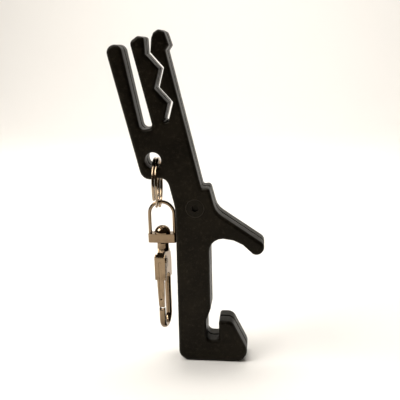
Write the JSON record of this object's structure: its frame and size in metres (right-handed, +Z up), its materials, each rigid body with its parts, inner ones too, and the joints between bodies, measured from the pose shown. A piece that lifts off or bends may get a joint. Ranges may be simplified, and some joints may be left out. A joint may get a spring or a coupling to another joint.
{
  "type": "keychain bottle opener",
  "caption": "Flat pocket tool with a slotted head, a side lever and a hooked foot for prising caps, and a swivel snap clasp hanging from a split ring.",
  "frame": {"origin": "centre of the flat base that the tool stands on, halfway through its thickness", "axes": "+Z up, +X to the lever's side, +Y from the front face to the rear face"},
  "size_m": [0.0416, 0.0144, 0.0949],
  "materials": {
    "shell": "satin, fine moulded grain",
    "core": "blackened steel",
    "fastener": "satin black",
    "nickel": "polished nickel plate",
    "spring": "drawn spring wire"
  },
  "bodies": {
    "tool": {"front_shell": "shell", "rear_shell": "shell", "core_plate": "core", "binding_screw": "fastener", "barrel_nut": "fastener"},
    "ring": {"split_ring": "nickel"},
    "eye": {"swivel_eye": "nickel"},
    "clasp": {"swivel_rivet": "nickel", "clasp_body": "nickel", "gate_pin": "nickel", "gate_spring": "spring"},
    "gate": {"clasp_gate": "nickel"}
  },
  "joints": [
    {"name": "ring_swing", "type": "hinge", "parent": "tool", "child": "ring", "pos_m": [-0.01545, 0, 0.06047], "axis": [0, 1, 0], "range_deg": [0, 110]},
    {"name": "eye_swing", "type": "hinge", "parent": "ring", "child": "eye", "pos_m": [-0.0143, 0, 0.0476], "axis": [1, 0, 0], "range_deg": [-60, 60]},
    {"name": "clasp_swivel", "type": "hinge", "parent": "eye", "child": "clasp", "pos_m": [-0.0143, 0, 0.0373], "axis": [0, 0, 1], "continuous": true},
    {"name": "gate_hinge", "type": "hinge", "parent": "clasp", "child": "gate", "pos_m": [-0.01462, -0.00228, 0.031], "axis": [0.9903, -0.1392, 0], "range_deg": [0, 18], "stiffness_Nm_per_rad": 0.008, "springref_deg": -17.19, "deforming": ["gate_spring"]}
  ]
}
